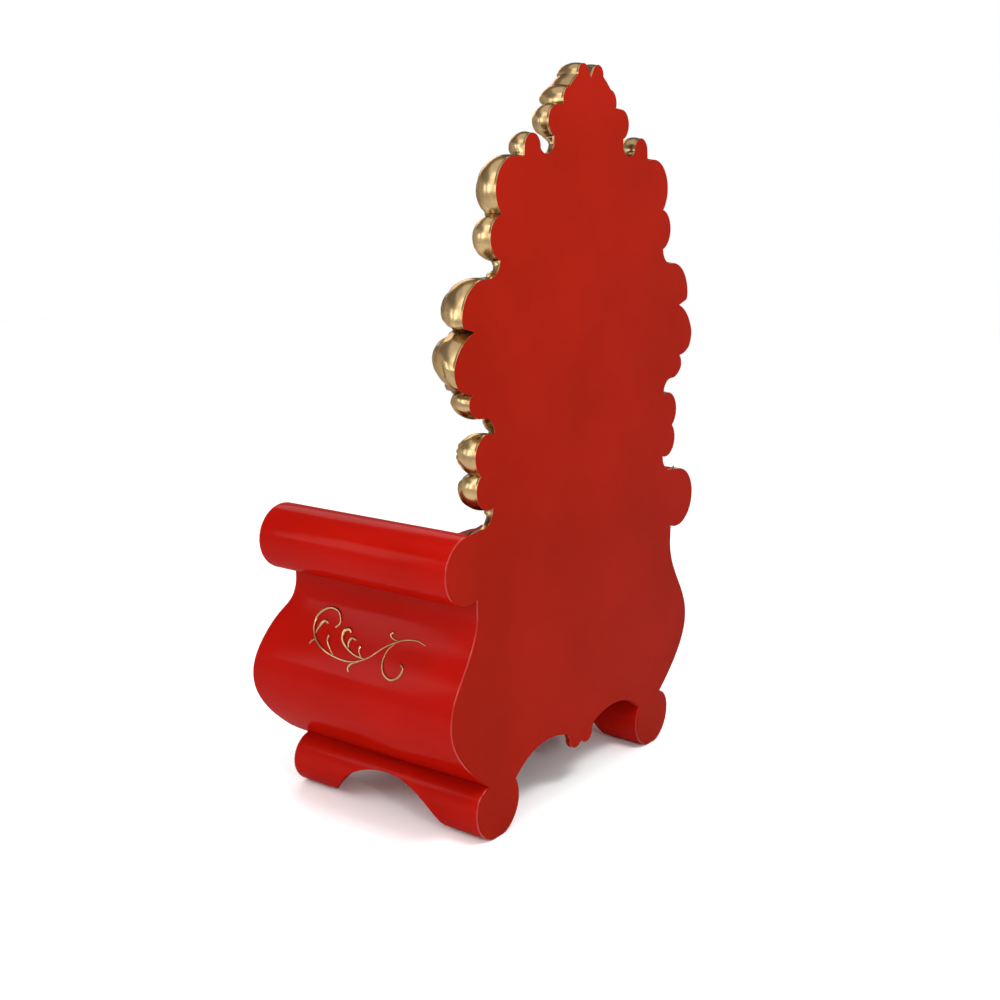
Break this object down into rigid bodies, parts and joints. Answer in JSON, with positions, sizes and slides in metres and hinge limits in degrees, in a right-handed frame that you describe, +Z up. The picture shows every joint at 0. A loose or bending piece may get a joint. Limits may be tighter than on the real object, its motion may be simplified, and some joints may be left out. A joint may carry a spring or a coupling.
{
  "type": "throne",
  "caption": "High-backed ceremonial throne with a carved gilt surround, red lacquered bombe body, rolled arms, foot rolls and crimson velvet seat and back.",
  "frame": {"origin": "on the floor, at the middle of the throne's plan box", "axes": "+Z up, the sitter faces -Y, +X towards the sitter's left arm, the flat back faces +Y"},
  "size_m": [1.1088, 0.645, 1.7998],
  "materials": {
    "red_lacquer": "high-gloss red lacquer over moulded fibreglass",
    "gilt": "burnished gold leaf over moulded fibreglass carving",
    "crimson_velvet": "crimson velvet over foam"
  },
  "bodies": {
    "root": {"back_panel": "red_lacquer", "gilt_surround": "gilt", "side_left": "red_lacquer", "side_right": "red_lacquer", "seat_base": "red_lacquer", "seat_cushion": "crimson_velvet", "back_cushion": "crimson_velvet", "side_scroll_left": "gilt", "side_scroll_right": "gilt", "arm_rosette_left": "gilt", "arm_rosette_right": "gilt"}
  },
  "joints": []
}
